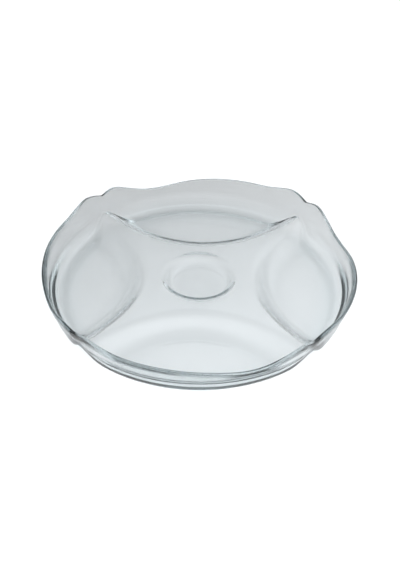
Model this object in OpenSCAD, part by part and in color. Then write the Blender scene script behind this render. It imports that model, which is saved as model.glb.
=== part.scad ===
// Chip and dip server: one pane of pressed glass with four lens-shaped compartments round a dip well.
// The origin is on the surface that the dish stands on, at the middle of the dish. +Z is up.
// The same field of heights gives the upper and the lower skin, so the glass keeps an even thickness.

/* [Overall] */
// Diameter over the rim, at the mean rim height
dish_d = 323; // [260:1:400]
// Mean height of the rim above the table
rim_h = 36; // [30:0.5:50]
// Height of the raised plateau above the table
plateau_h = 21.5; // [15:0.5:26]

/* [Glass] */
// Thickness of the outer wall and of the lip
wall_t = 3.2; // [2:0.1:5]
// Thickness of the compartment floors
floor_t = 3.5; // [2:0.1:6]

/* [Outer wall] */
// Lean of the upper wall away from upright, in degrees
wall_lean = 18; // [8:1:24]
// Radius of the cove between a compartment floor and the wall
cove_r = 28; // [18:1:34]
// Radius of the outer corner under the wall
corner_r = 12; // [8:0.5:15]
// Width over which the cove and the corner rise off the level
arc_soft = 10; // [2:0.5:12]

/* [Rim wave] */
// Height of the rim wave, as a share of its normal height
wave_scale = 1; // [0:0.05:1.2]

/* [Compartments] */
// Distance from the middle of the dish to a compartment's ridge
ridge_r = 58.5; // [54:0.5:70]
// Narrowest width of the plateau arm between two compartments
arm_w = 6; // [3:0.5:9]
// Width of the slope below a ridge, at the middle of a compartment
ridge_run = 12; // [10:0.5:16]
// Width of the slope below a ridge, where it meets the outer wall
end_run = 22; // [15:0.5:28]
// Width over which a ridge's upper edge is rounded, at the middle of a compartment
edge_soft = 5.5; // [3:0.5:9]
// Width over which it is rounded at the outer wall
tip_soft = 3.5; // [2:0.5:6]
// Width over which the foot of the slope is rounded
foot_soft = 11.5; // [3:0.5:12]

/* [Dip well] */
// Radius at which the slope of the well's wall would meet its floor
well_floor_r = 29.5; // [20:0.5:36]
// Depth of the well below the plateau
well_depth = 10; // [6:0.5:13]
// Slope of the well's wall away from upright, in degrees
well_draft = 34; // [20:1:45]
// Height over which the well's upper edge is rounded
well_edge_soft = 4; // [2:0.5:7]
// Height over which the well's lower corner is rounded
well_soft = 5; // [2:0.5:6]

/* [Detail] */
// Mesh lines in half a compartment
half_lines = 10; // [8:1:10]

/* [Hidden] */

glass_color = [0.82, 0.87, 0.89, 0.5];
quarters = 4;
half_turn = 180 / quarters;         // from a compartment's axis to the arm beside it
steep = 90 - wall_lean;             // the upper wall's slope above level
grind = 0.3;                        // ground off under the floors, so that the dish stands flat
lip_steps = 5;                      // mesh points round the lip
slab_h = 10;                        // height of the block that grinds the feet
wall_soft = 5;                      // height over which a slope and the outer wall blend

// Rim wave over one compartment: the angle from its axis, and the height above the mean rim.
// It starts and ends in the notch over an arm, where the rim has a sharp bend
notch_at = 44.06;
wave = [[notch_at - 2 * half_turn, 2.6], [-42.5, 6], [-38.5, 7.8], [-33, 4.9], [-27, 1.7], [-16, 0.8],
        [-6, -0.2], [6, -2.9], [17.5, -6.8], [25, -5.6], [31, -0.5], [38, 5.7], [notch_at, 2.6]];

// Where the cove and the corner start, so that both skins of the wall reach the rim diameter
cove_start = dish_d / 2 - wall_t - arc_run(cove_r) - (rim_h - floor_t - arc_rise(cove_r)) / tan(steep);
corner_start = dish_d / 2 - arc_run(corner_r) - (rim_h - arc_rise(corner_r)) / tan(steep);

// Height of the plateau above a compartment's floor, and the radius where the wall passes it
step_h = plateau_h - floor_t;
wall_r = cove_radius(step_h, cove_start, cove_r);

// Radius of the ring of mesh points at the top of the cove, which stays below the lowest part of the lip
lip_room = 1;
lip_low = rim_h + wave_scale * min([for (p = wave) p.y]) - wall_t / 2 - floor_t;
edge_r = cove_radius(min(step_h, lip_low - lip_room), cove_start, cove_r);

// Ridge line of a compartment: y = ridge_r + bend * x^2, whose arms come within arm_w of each other
bend = 1 / (4 * (ridge_r - arm_w / sqrt(2)));

// Ring stations along one mesh line, as distances or as shares of a stretch
ring_n = 8;                         // rings on the wall of the well
well_reach = [-well_soft, well_depth + well_edge_soft] * tan(well_draft);
arm_gap = 4;                        // least distance from the well's last ring to the ridge line
well_rings = let (last = min(well_floor_r + well_reach[1], ridge_r - arm_gap))
    [for (j = [1:ring_n]) mix(well_floor_r + well_reach[0], last, (j - 1) / (ring_n - 1))];
arm_shares = [0.2, 0.42, 0.64, 0.84];
pocket_shares = [0, 0.02, 0.045, 0.075, 0.11, 0.145, 0.18, 0.215, 0.25, 0.45,
                 0.62, 0.69, 0.76, 0.82, 0.865, 0.9, 0.93, 0.96, 0.985, 1];
wall_shares = [0.35, 0.7];
arm_reach = 2.5;                    // how far short of the wall the ridge line's last point stays

function arc_run(r) = r * sin(steep);
function arc_rise(r) = r * (1 - cos(steep));

function soft_min(a, b, k) = let (h = max(k - abs(a - b), 0) / k) min(a, b) - h * h * k / 4;
function soft_max(a, b, k) = -soft_min(-a, -b, k);
function mix(a, b, share) = a + (b - a) * share;

// The higher of two heights above one floor, blended where both stand clear of it
function join(a, b, k) = a + b <= 0 ? 0 : soft_max(a, b, min(k, a + b));

// Height of an arc that leaves the level softly near start, and runs on straight at the wall's slope
function cove(r, start, radius) =
    let (reach = soft_max(0, r - start, arc_soft))
    reach < arc_run(radius) ? radius - sqrt(radius * radius - reach * reach) :
    arc_rise(radius) + (reach - arc_run(radius)) * tan(steep);

// Radius at which that arc and its straight run reach a height
function cove_radius(z, start, radius) =
    z < arc_rise(radius) ? start + sqrt(radius * radius - pow(radius - z, 2)) :
    start + arc_run(radius) + (z - arc_rise(radius)) / tan(steep);

// Distance inside the ridge line of a compartment whose axis is y
function ridge_gap(x, y) = (y - ridge_r - bend * x * x) / sqrt(1 + pow(2 * bend * x, 2));

// A width that changes from the middle of a ridge to the outer wall
function along(r, middle, end) =
    mix(middle, end, (r * r - ridge_r * ridge_r) / (wall_r * wall_r - ridge_r * ridge_r));

// How far the lower skin of a slope stands back, so that the glass of the slope is wall_t thick
function setback(run, rise) = (wall_t * norm([run, rise]) - (floor_t + grind) * run) / rise;

// Height of one skin over the plan point p, in a compartment's own frame
function skin(p, under) =
    let (r = norm(p),
         run = along(r, ridge_run, end_run),
         soft = along(r, edge_soft, tip_soft),
         back = under ? setback(run, step_h) : 0,
         gap = back + soft_max(ridge_gap(p.x, p.y), ridge_gap(p.y, abs(p.x)), soft),
         fall = soft_min(soft_max(0, gap, soft), run, foot_soft),
         well_r = well_floor_r + (under ? setback(tan(well_draft), 1) : 0),
         well_z = soft_max(0, (r - well_r) / tan(well_draft), well_soft) + step_h - well_depth,
         inside = soft_min(step_h * (1 - fall / run), well_z, well_edge_soft),
         wall_z = under ? cove(r, corner_start, corner_r) : cove(r, cove_start, cove_r))
    join(wall_z, inside, wall_soft) + (under ? -grind : floor_t);

// Rim height at an angle from a compartment's axis: a smooth curve through the wave's points
function wave_slope(i) =
    let (p = wave[max(i - 1, 0)], q = wave[min(i + 1, len(wave) - 1)]) (q.y - p.y) / (q.x - p.x);
function wave_between(a, i) =
    let (p = wave[i], q = wave[i + 1], w = q.x - p.x, t = (a - p.x) / w)
    mix(p.y, q.y, t * t * (3 - 2 * t)) + w * t * (1 - t) * (wave_slope(i) * (1 - t) - wave_slope(i + 1) * t);
function rim_z(angle) =
    let (a = angle < notch_at ? angle : angle - 2 * half_turn,
         i = max([for (j = [0:len(wave) - 2]) if (wave[j].x <= a) j]))
    rim_h + wave_scale * wave_between(a, i);

// Plan points of one mesh line. share runs from -1 to 1 across a compartment
tip_r = edge_r - arm_reach;
tip_x = let (b = 1 + 2 * bend * ridge_r)
    sqrt((sqrt(b * b + 4 * bend * bend * (tip_r * tip_r - ridge_r * ridge_r)) - b) / 2) / bend;
function at_angle(a, r) = r * [sin(-a), cos(a)];
function ridge_point(share) =
    abs(share) == 1 ? at_angle(share * half_turn, tip_r)
                    : [-share * tip_x, ridge_r + bend * pow(share * tip_x, 2)];

function plan_line(share) =
    let (a = share * half_turn,
         rings = [for (r = well_rings) at_angle(a, r)],
         last = rings[len(rings) - 1],
         ridge = ridge_point(share),
         wall = at_angle(a, edge_r),
         short = 1 - norm(wall - ridge) / (edge_r - ridge_r),
         n = len(pocket_shares) - 1,
         lip_r = cove_radius(rim_z(a) - wall_t / 2 - floor_t, cove_start, cove_r))
    concat(rings,
        [for (s = arm_shares) mix(last, ridge, s)],
        [for (j = [0:n]) mix(ridge, wall, mix(pocket_shares[j], j / n, short))],
        [for (s = concat(wall_shares, [1])) at_angle(a, mix(edge_r, lip_r, s))]);

// One mesh line in space: the upper skin outwards, round the lip, and the lower skin back
function mesh_line(share) =
    let (a = share * half_turn,
         plan = plan_line(share),
         n = len(plan) - 1,
         z = rim_z(a) - wall_t / 2,
         inner = [norm(plan[n]), skin(plan[n], false)],
         outer = [cove_radius(z + grind, corner_start, corner_r), z],
         middle = (inner + outer) / 2,
         half = (outer - inner) / 2,
         up = [-half.y, half.x])
    concat([for (p = plan) [p.x, p.y, skin(p, false)]],
        [for (j = [1:lip_steps])
            let (t = 180 * j / lip_steps, q = middle - cos(t) * half + sin(t) * up,
                 p = at_angle(a, q.x)) [p.x, p.y, q.y]],
        [for (j = [n:-1:0]) let (p = plan[j]) [p.x, p.y, skin(p, true)]]);

function turned(p, a) = [p.x * cos(a) - p.y * sin(a), p.x * sin(a) + p.y * cos(a), p.z];

// Mesh lines stand closer together towards the arms, and the last one runs through the notch
shares = [for (j = [-half_lines:half_lines - 1])
    j == -half_lines ? -1 : j == half_lines - 1 ? notch_at / half_turn : sin(90 * j / half_lines)];

module skins() {
    lines = [for (q = [0:quarters - 1], s = shares)
        [for (p = mesh_line(s)) turned(p, 2 * half_turn * q)]];
    rows = len(lines);
    cols = len(lines[0]);
    top = rows * cols;
    points = concat([for (l = lines) each l],
        [[0, 0, skin([0, 0], false)], [0, 0, skin([0, 0], true)]]);
    sides = [for (i = [0:rows - 1], j = [0:cols - 2])
        let (a = i * cols + j, b = ((i + 1) % rows) * cols + j) each [[a, b + 1, a + 1], [a, b, b + 1]]];
    caps = [for (i = [0:rows - 1]) let (a = i * cols, b = ((i + 1) % rows) * cols)
        each [[top, b, a], [top + 1, a + cols - 1, b + cols - 1]]];
    polyhedron(points, concat(sides, caps));
}

module glass_dish() {
    color(glass_color)
        difference() {
            skins();
            translate([-dish_d, -dish_d, -slab_h])
                cube([2 * dish_d, 2 * dish_d, slab_h]);
        }
}

glass_dish();
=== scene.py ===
import math

import bpy
import numpy as np
from mathutils import Matrix, Vector


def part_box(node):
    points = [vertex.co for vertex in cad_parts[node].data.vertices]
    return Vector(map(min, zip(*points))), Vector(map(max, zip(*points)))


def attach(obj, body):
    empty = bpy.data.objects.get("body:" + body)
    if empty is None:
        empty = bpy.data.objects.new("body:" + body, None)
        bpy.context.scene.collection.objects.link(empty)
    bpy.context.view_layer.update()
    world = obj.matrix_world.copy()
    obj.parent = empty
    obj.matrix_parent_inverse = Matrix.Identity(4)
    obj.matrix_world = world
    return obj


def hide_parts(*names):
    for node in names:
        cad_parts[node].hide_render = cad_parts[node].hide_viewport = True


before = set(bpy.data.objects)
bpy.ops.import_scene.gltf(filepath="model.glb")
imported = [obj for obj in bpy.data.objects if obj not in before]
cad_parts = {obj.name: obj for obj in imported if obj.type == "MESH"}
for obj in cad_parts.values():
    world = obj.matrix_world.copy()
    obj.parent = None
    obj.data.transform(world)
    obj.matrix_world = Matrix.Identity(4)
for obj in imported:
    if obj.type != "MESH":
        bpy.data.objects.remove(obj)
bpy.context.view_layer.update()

low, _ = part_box("glass_dish")

MM = 0.001

# ---------------------------------------------------------------- the camera

SENSOR = 36.0                           # height of the camera's sensor, mm
VIEW_ELEVATION = 39.077
VIEW_AZIMUTH = 1.05
VIEW_ROLL = 0.673
VIEW_DISTANCE = 1.0455
FOCAL_SHARE = 1.74379                   # focal length as a share of the picture's height
TARGET = Vector((0.0011, 0.0091, 0.0))
CLIP_NEAR, CLIP_FAR = 0.01, 50


def add_camera():
    e, a, roll = (math.radians(v) for v in (VIEW_ELEVATION, VIEW_AZIMUTH, VIEW_ROLL))
    back = Vector((math.sin(a) * math.cos(e), -math.cos(a) * math.cos(e), math.sin(e)))
    right = Vector((math.cos(a), math.sin(a), 0))
    up = back.cross(right)
    side = math.cos(roll) * right + math.sin(roll) * up
    top = -math.sin(roll) * right + math.cos(roll) * up
    data = bpy.data.cameras.new("camera")
    data.sensor_fit = "VERTICAL"
    data.sensor_height = SENSOR
    data.lens = FOCAL_SHARE * SENSOR
    data.clip_start = CLIP_NEAR
    data.clip_end = CLIP_FAR
    camera = bpy.data.objects.new("camera", data)
    bpy.context.collection.objects.link(camera)
    place = Matrix((side, top, back)).transposed().to_4x4()
    place.translation = TARGET + back * VIEW_DISTANCE
    camera.matrix_world = place
    bpy.context.scene.camera = camera


# ---------------------------------------------------------------- the shape, in millimetres

RIM_RADIUS = 161.5                      # at the mean rim height
RIM_H = 36.0                            # mean height of the rim above the table
PLATEAU_H = 21.5
WALL_T = 3.2
FLOOR_T = 3.5
WALL_LEAN = 18.0                        # of the upper wall, in degrees from upright
COVE_R = 28.0                           # between a compartment floor and the wall
CORNER_R = 12.0                         # outer corner under the wall
ARC_SOFT = 10.0                         # width over which cove and corner rise off the level
WALL_SOFT = 5.0                         # height over which a slope and the wall blend

RIDGE_R = 58.5                          # from the middle of the dish to a compartment's ridge
ARM_W = 6.0                             # narrowest plateau arm between two compartments
RIDGE_RUN = 12.0                        # width of the slope below a ridge, at its middle
END_RUN = 22.0                          # and where it meets the outer wall
EDGE_SOFT = 5.5                         # rounding of the ridge's upper edge, at its middle
TIP_SOFT = 3.5                          # and at the outer wall
FOOT_SOFT = 11.5                        # rounding of the slope's foot

WELL_FLOOR_R = 29.5                     # where the slope of the well's wall would meet its floor
WELL_DEPTH = 10.0
WELL_DRAFT = math.radians(34)
WELL_EDGE_SOFT = 4.0
WELL_SOFT = 5.0
GRIND = 0.3                             # ground off under the floors, so that the dish stands flat

RIPPLES = [(70, 0.035), (31, 0.012), (13, 0.003)]      # wavelength and depth of the skins' unevenness
RIPPLE_WAVES = 3                        # waves of each length, in random directions
UPPER_SEED, LOWER_SEED = 1, 2

# Rim wave over one compartment: the angle from its axis, and the height above the mean rim.
# It starts and ends in the notch over an arm
NOTCH_AT = 44.0625
WAVE = np.array([
    (NOTCH_AT - 90, 2.6), (-42.5, 6), (-38.5, 7.8), (-33, 4.9), (-27, 1.7), (-16, 0.8), (-6, -0.2),
    (6, -2.9), (17.5, -6.8), (25, -5.6), (31, -0.5), (38, 5.7), (NOTCH_AT, 2.6)])

STEEP = math.radians(90 - WALL_LEAN)
STEP_H = PLATEAU_H - FLOOR_T
BEND = 1 / (4 * (RIDGE_R - ARM_W / math.sqrt(2)))      # ridge line: y = RIDGE_R + BEND * x^2
TINY = 1e-9


def arc_run(radius):
    return radius * math.sin(STEEP)


def arc_rise(radius):
    return radius * (1 - math.cos(STEEP))


# Where the cove and the corner start, so that both skins of the wall reach the rim's radius
COVE_START = RIM_RADIUS - WALL_T - arc_run(COVE_R) - (RIM_H - FLOOR_T - arc_rise(COVE_R)) / math.tan(STEEP)
CORNER_START = RIM_RADIUS - arc_run(CORNER_R) - (RIM_H - arc_rise(CORNER_R)) / math.tan(STEEP)
# Where the wall passes the height of the plateau
WALL_R = COVE_START + math.sqrt(COVE_R ** 2 - (COVE_R - STEP_H) ** 2)


def soft_min(a, b, k):
    h = np.maximum(k - np.abs(a - b), 0) / k
    return np.minimum(a, b) - h * h * k / 4


def soft_max(a, b, k):
    return -soft_min(-a, -b, k)


def join(a, b, k):
    """The higher of two heights above one floor, blended where both stand clear of it."""
    return soft_max(a, b, np.maximum(np.minimum(k, a + b), TINY))


def cove(r, start, radius):
    """Height of an arc that leaves the level softly near start, and runs on straight."""
    reach = soft_max(np.zeros_like(r), r - start, ARC_SOFT)
    arc = radius - np.sqrt(radius ** 2 - np.minimum(reach, arc_run(radius)) ** 2)
    straight = arc_rise(radius) + (reach - arc_run(radius)) * math.tan(STEEP)
    return np.where(reach < arc_run(radius), arc, straight)


def cove_radius(z, start, radius):
    """Radius at which that arc and its straight run reach a height."""
    arc = start + np.sqrt(np.maximum(radius ** 2 - (radius - z) ** 2, 0))
    straight = start + arc_run(radius) + (z - arc_rise(radius)) / math.tan(STEEP)
    return np.where(z < arc_rise(radius), arc, straight)


def ridge_gap(x, y):
    """Distance inside the ridge line of a compartment whose axis is y."""
    return (y - RIDGE_R - BEND * x * x) / np.sqrt(1 + (2 * BEND * x) ** 2)


def along(r, middle, end):
    """A width that changes from the middle of a ridge to the outer wall."""
    return middle + (end - middle) * (r ** 2 - RIDGE_R ** 2) / (WALL_R ** 2 - RIDGE_R ** 2)


def setback(run, rise):
    """How far the lower skin of a slope stands back, so that its glass is WALL_T thick."""
    return (WALL_T * np.hypot(run, rise) - (FLOOR_T + GRIND) * run) / rise


def ripple(x, y, seed):
    """Slow, shallow unevenness of the moulded skin."""
    rng = np.random.default_rng(seed)
    total = np.zeros_like(x)
    for length, depth in RIPPLES:
        for _ in range(RIPPLE_WAVES):
            turn, phase = rng.uniform(0, 2 * math.pi, 2)
            way = x * math.cos(turn) + y * math.sin(turn)
            total += depth * np.sin(way * 2 * math.pi / length + phase)
    return total


def skin(x, y, under):
    """Height of the lower or the upper skin over plan points."""
    x, y = np.abs(x), np.abs(y)
    x, y = np.minimum(x, y), np.maximum(x, y)           # folded into one eighth of the dish
    r = np.hypot(x, y)
    flat = np.zeros_like(r)
    run, soft = along(r, RIDGE_RUN, END_RUN), along(r, EDGE_SOFT, TIP_SOFT)
    gap = soft_max(ridge_gap(x, y), ridge_gap(y, x), soft) + (setback(run, STEP_H) if under else 0)
    fall = soft_min(soft_max(flat, gap, soft), run, FOOT_SOFT)
    ridge = STEP_H * (1 - fall / run)
    well_r = WELL_FLOOR_R + (setback(math.tan(WELL_DRAFT), 1) if under else 0)
    well = soft_max(flat, (r - well_r) / math.tan(WELL_DRAFT), WELL_SOFT) + STEP_H - WELL_DEPTH
    inside = soft_min(ridge, well, WELL_EDGE_SOFT)
    wall = cove(r, CORNER_START, CORNER_R) if under else cove(r, COVE_START, COVE_R)
    return join(wall, inside, WALL_SOFT) + (-GRIND if under else FLOOR_T)


def rim_z(a):
    """Rim height at angles from a compartment's axis: a smooth curve through the wave's points."""
    a = np.mod(a - NOTCH_AT, 90) + NOTCH_AT - 90
    n = len(WAVE)
    i = np.clip(np.searchsorted(WAVE[:, 0], a, side="right") - 1, 0, n - 2)
    before = WAVE[np.maximum(np.arange(n) - 1, 0)]
    after = WAVE[np.minimum(np.arange(n) + 1, n - 1)]
    slope = (after[:, 1] - before[:, 1]) / (after[:, 0] - before[:, 0])
    p, q = WAVE[i], WAVE[i + 1]
    w = q[:, 0] - p[:, 0]
    t = (a - p[:, 0]) / w
    return (RIM_H + p[:, 1] + (q[:, 1] - p[:, 1]) * t * t * (3 - 2 * t)
            + w * t * (1 - t) * (slope[i] * (1 - t) - slope[i + 1] * t))


# ---------------------------------------------------------------- the mesh

QUARTERS = 4
HALF_TURN = 45                          # from a compartment's axis to the arm beside it
HALF_LINES = 48                         # mesh lines in half a compartment
# Rings of points outwards: distances round the well, then shares of the way to the ridge line,
# from there to the wall, and up the wall to the lip. They stand closer where the glass bends
WELL_RINGS = np.concatenate([np.linspace(3, 25, 8), np.linspace(26, 42, 17)])
ARM_SHARES = np.linspace(0, 1, 12)[1:-1] ** 0.7
POCKET_SHARES = np.concatenate([
    np.linspace(0, 0.26, 22), np.linspace(0.32, 0.6, 6), np.linspace(0.63, 1, 22)])
WALL_SHARES = np.linspace(0, 1, 13)[1:]
ARM_REACH = 2.5                         # how far short of the wall the ridge line's last point stays
LIP_STEPS = 12


def ridge_points(share, way):
    """Points of the ridge line, the first one at the tip of the arm."""
    tip_r = WALL_R - ARM_REACH
    b = 1 + 2 * BEND * RIDGE_R
    tip_x = math.sqrt((math.sqrt(b * b + 4 * BEND ** 2 * (tip_r ** 2 - RIDGE_R ** 2)) - b) / 2) / BEND
    ridge = np.stack([-share * tip_x, RIDGE_R + BEND * (share * tip_x) ** 2], -1)
    ridge[0] = tip_r * way[0]
    return ridge


def plan_rings(share, way, lip_r):
    """Plan points of one compartment, as rings x lines x 2."""
    ridge, wall = ridge_points(share, way), WALL_R * way
    short = 1 - np.linalg.norm(wall - ridge, axis=1) / (WALL_R - RIDGE_R)
    plan = [way * r for r in WELL_RINGS]
    last = plan[-1]
    plan += [last + (ridge - last) * s for s in ARM_SHARES]
    for s, even in zip(POCKET_SHARES, np.linspace(0, 1, len(POCKET_SHARES))):
        t = (s + (even - s) * short)[:, None]
        plan.append(ridge + (wall - ridge) * t)
    plan += [way * (WALL_R + (lip_r - WALL_R) * s)[:, None] for s in WALL_SHARES]
    return np.array(plan)


def lip_rings(inner, outer, way):
    """Half-round edge from the upper skin over to the lower one."""
    middle, reach = (inner + outer) / 2, (outer - inner) / 2
    normal = np.stack([-reach[:, 1], reach[:, 0]], -1)
    rings = []
    for j in range(1, LIP_STEPS + 1):
        t = math.pi * j / LIP_STEPS
        q = middle - math.cos(t) * reach + math.sin(t) * normal
        rings.append(np.dstack([way[:, 0] * q[:, 0], way[:, 1] * q[:, 0], q[:, 1]])[0])
    return np.array(rings)


def turned(rings, a):
    return rings @ np.array([[math.cos(a), math.sin(a), 0], [-math.sin(a), math.cos(a), 0], [0, 0, 1]])


def dish_rings():
    """All points but the two middle ones: the upper skin outwards, the lip, the lower skin back."""
    angle = np.arange(-HALF_LINES, HALF_LINES) * HALF_TURN / HALF_LINES
    way = np.stack([-np.sin(np.radians(angle)), np.cos(np.radians(angle))], -1)
    z_lip = rim_z(angle) - WALL_T / 2
    plan = plan_rings(angle / HALF_TURN, way, cove_radius(z_lip - FLOOR_T, COVE_START, COVE_R))
    x, y = plan[..., 0], plan[..., 1]
    upper = np.dstack([x, y, skin(x, y, False)])
    lower = np.dstack([x, y, skin(x, y, True)])[::-1]
    inner = np.stack([np.hypot(x[-1], y[-1]), upper[-1, :, 2]], -1)
    outer = np.stack([cove_radius(z_lip + GRIND, CORNER_START, CORNER_R), z_lip], -1)
    quarter = np.concatenate([upper, lip_rings(inner, outer, way), lower])
    rings = np.concatenate([turned(quarter, k * math.pi / 2) for k in range(QUARTERS)], axis=1)
    count = len(plan)
    for part, seed in ((slice(0, count), UPPER_SEED), (slice(-count, None), LOWER_SEED)):
        area = rings[part]
        area[..., 2] += ripple(area[..., 0], area[..., 1], seed)
    rings[..., 2] = np.maximum(rings[..., 2], 0)        # ground flat where the dish stands
    return rings


def build_dish():
    rings = dish_rings()
    rows, cols = rings.shape[:2]
    zero = np.zeros(1)
    poles = np.array([[0, 0, float((skin(zero, zero, under) + ripple(zero, zero, seed))[0])]
                      for under, seed in ((False, UPPER_SEED), (True, LOWER_SEED))])
    verts = np.concatenate([rings.reshape(-1, 3), poles]) * MM
    at = np.arange(rows * cols).reshape(rows, cols)
    nxt = np.roll(at, -1, axis=1)
    quads = np.stack([at[:-1], at[1:], nxt[1:], nxt[:-1]], -1).reshape(-1, 4)
    faces = [tuple(int(v) for v in f) for f in quads]
    top, bottom = rows * cols, rows * cols + 1
    for i in range(cols):
        faces.append((top, int(at[0, i]), int(nxt[0, i])))
        faces.append((bottom, int(nxt[-1, i]), int(at[-1, i])))
    mesh = bpy.data.meshes.new("pressed_glass_dish")
    mesh.from_pydata([tuple(v) for v in verts], [], faces)
    mesh.validate()
    mesh.shade_smooth()
    dish = bpy.data.objects.new("pressed_glass_dish", mesh)
    bpy.context.collection.objects.link(dish)
    return dish


# ---------------------------------------------------------------- materials

GLASS_COLOUR = (0.97, 0.985, 0.99, 1)
GLASS_IOR = 1.5
GLASS_DEPTH_COLOUR = (0.8, 0.865, 0.88, 1)              # what a thick part turns towards
GLASS_DEPTH_DENSITY = 30
HAZE = (0.07, 0.13)                     # roughness of the moulded skin, which varies from place to place
HAZE_SCALE = 22
HAZE_DETAIL = 3
HAZE_NOISE = (0.35, 0.65)               # the noise values that are spread over that roughness


def glass_material():
    material = bpy.data.materials.new("pressed_clear_glass")
    material.use_nodes = True
    nodes, links = material.node_tree.nodes, material.node_tree.links
    shader = nodes["Principled BSDF"]
    shader.inputs["Base Color"].default_value = GLASS_COLOUR
    shader.inputs["Transmission Weight"].default_value = 1
    shader.inputs["IOR"].default_value = GLASS_IOR
    place = nodes.new("ShaderNodeTexCoord")
    cloud = nodes.new("ShaderNodeTexNoise")
    cloud.inputs["Scale"].default_value = HAZE_SCALE
    cloud.inputs["Detail"].default_value = HAZE_DETAIL
    links.new(place.outputs["Object"], cloud.inputs["Vector"])
    haze = nodes.new("ShaderNodeMapRange")
    haze.inputs["From Min"].default_value, haze.inputs["From Max"].default_value = HAZE_NOISE
    haze.inputs["To Min"].default_value, haze.inputs["To Max"].default_value = HAZE
    links.new(cloud.outputs["Fac"], haze.inputs["Value"])
    links.new(haze.outputs["Result"], shader.inputs["Roughness"])
    volume = nodes.new("ShaderNodeVolumeAbsorption")
    volume.inputs["Color"].default_value = GLASS_DEPTH_COLOUR
    volume.inputs["Density"].default_value = GLASS_DEPTH_DENSITY
    links.new(volume.outputs[0], nodes["Material Output"].inputs["Volume"])
    return material


FLOOR_TONE = 0.95
FLOOR_UNDER_GLASS = 0.66                # the floor as the glass shows it, at the middle: darker than the floor seen directly
PAINTED_FLOOR_FALLOFF = (0.42, -0.8, 0.0)          # painted light fall-off: how much that tone grows along each axis, for each metre, so the floor seen through the glass is lighter to the front right and darker to the back left
FLOOR_DARKEST = 0.3


def floor_material():
    material = bpy.data.materials.new("studio_floor")
    material.use_nodes = True
    nodes, links = material.node_tree.nodes, material.node_tree.links
    shader = nodes["Principled BSDF"]
    shader.inputs["Roughness"].default_value = 1
    shader.inputs["Specular IOR Level"].default_value = 0
    place = nodes.new("ShaderNodeTexCoord")
    # painted light: the floor's tone under the glass falls off from the front right to the back left
    fall = nodes.new("ShaderNodeVectorMath")
    fall.operation = "DOT_PRODUCT"
    fall.inputs[1].default_value = PAINTED_FLOOR_FALLOFF
    links.new(place.outputs["Object"], fall.inputs[0])
    tone = nodes.new("ShaderNodeMapRange")
    tone.inputs["From Min"].default_value = FLOOR_DARKEST - FLOOR_UNDER_GLASS
    tone.inputs["From Max"].default_value = FLOOR_TONE - FLOOR_UNDER_GLASS
    tone.inputs["To Min"].default_value = FLOOR_DARKEST
    tone.inputs["To Max"].default_value = FLOOR_TONE
    links.new(fall.outputs["Value"], tone.inputs["Value"])
    # camera rays see the even FLOOR_TONE; other rays, such as those through the glass, see the darker tone
    # with its painted light fall-off
    path = nodes.new("ShaderNodeLightPath")
    mix = nodes.new("ShaderNodeMix")
    mix.inputs["B"].default_value = FLOOR_TONE
    links.new(tone.outputs["Result"], mix.inputs["A"])
    links.new(path.outputs["Is Camera Ray"], mix.inputs["Factor"])
    links.new(mix.outputs["Result"], shader.inputs["Base Color"])
    return material


# ---------------------------------------------------------------- stage and light

FLOOR_HALF = 40.0                       # wide enough that its edge isn't seen
FLOOR_GAP = 0.0004


def add_stage():
    s, z = FLOOR_HALF, low.z - FLOOR_GAP
    mesh = bpy.data.meshes.new("studio_floor")
    mesh.from_pydata([(-s, -s, z), (s, -s, z), (s, s, z), (-s, s, z)], [], [(0, 1, 2, 3)])
    floor = bpy.data.objects.new("studio_floor", mesh)
    bpy.context.collection.objects.link(floor)
    mesh.materials.append(floor_material())


SKY_STOPS = [                           # sine of the elevation, and the tone there
    (0.0, 0.35), (0.15, 0.42), (0.4, 0.9), (0.5, 1.0), (0.75, 1.0), (0.93, 0.4), (1.0, 0.38)]
SKY_TILT = (0.3, -0.45, 0.0)            # brighter to the right and in front
SKY_STRENGTH = 1.6
SKY_TINT = (0.97, 0.985, 1.0)
BACKDROP = (1, 1, 1, 1)                 # where the sky is seen directly


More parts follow.
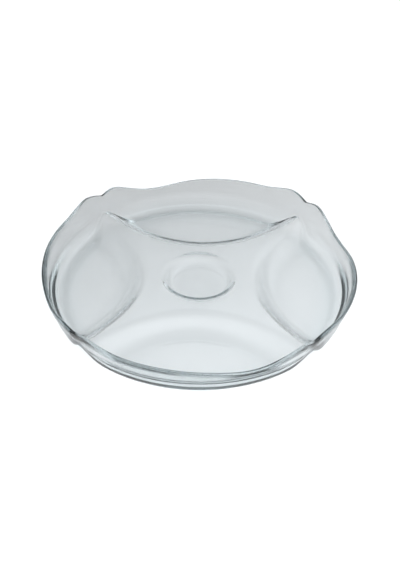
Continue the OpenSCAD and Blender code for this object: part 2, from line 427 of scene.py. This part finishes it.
def add_light():
    world = bpy.data.worlds.new("studio_world")
    bpy.context.scene.world = world
    world.use_nodes = True
    nodes, links = world.node_tree.nodes, world.node_tree.links
    way = nodes.new("ShaderNodeTexCoord")
    split = nodes.new("ShaderNodeSeparateXYZ")
    links.new(way.outputs["Generated"], split.inputs[0])
    ramp = nodes.new("ShaderNodeValToRGB")
    links.new(split.outputs["Z"], ramp.inputs["Fac"])
    stops = ramp.color_ramp.elements
    for at, _ in SKY_STOPS[1:-1]:
        stops.new(at)
    for stop, (at, tone) in zip(stops, SKY_STOPS):
        stop.position = at
        stop.color = (tone, tone, tone, 1)
    tilt = nodes.new("ShaderNodeVectorMath")
    tilt.operation = "DOT_PRODUCT"
    tilt.inputs[1].default_value = SKY_TILT
    links.new(way.outputs["Generated"], tilt.inputs[0])
    gain = nodes.new("ShaderNodeMath")
    gain.operation = "MULTIPLY_ADD"
    gain.inputs[1].default_value = SKY_STRENGTH
    gain.inputs[2].default_value = SKY_STRENGTH
    links.new(tilt.outputs["Value"], gain.inputs[0])
    tint = nodes.new("ShaderNodeVectorMath")
    tint.operation = "MULTIPLY"
    tint.inputs[1].default_value = SKY_TINT
    links.new(ramp.outputs["Color"], tint.inputs[0])
    sky = nodes["Background"]
    links.new(tint.outputs[0], sky.inputs["Color"])
    links.new(gain.outputs[0], sky.inputs["Strength"])
    backdrop = nodes.new("ShaderNodeBackground")
    backdrop.inputs["Color"].default_value = BACKDROP
    path = nodes.new("ShaderNodeLightPath")
    choice = nodes.new("ShaderNodeMixShader")
    links.new(path.outputs["Is Camera Ray"], choice.inputs["Fac"])
    links.new(sky.outputs[0], choice.inputs[1])
    links.new(backdrop.outputs[0], choice.inputs[2])
    links.new(choice.outputs[0], nodes["World Output"].inputs["Surface"])


LIGHT_BOUNCES = 24                      # enough for light that passes through many panes
GLOSSY_BOUNCES = 12


def set_rendering():
    scene = bpy.context.scene
    scene.view_settings.view_transform = "Standard"
    scene.cycles.use_denoising = True
    scene.cycles.max_bounces = LIGHT_BOUNCES
    scene.cycles.transmission_bounces = LIGHT_BOUNCES
    scene.cycles.glossy_bounces = GLOSSY_BOUNCES
    scene.cycles.blur_glossy = 0


dish = build_dish()
dish.data.materials.append(glass_material())
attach(dish, "root")
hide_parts("glass_dish")
add_stage()
add_camera()
add_light()
set_rendering()
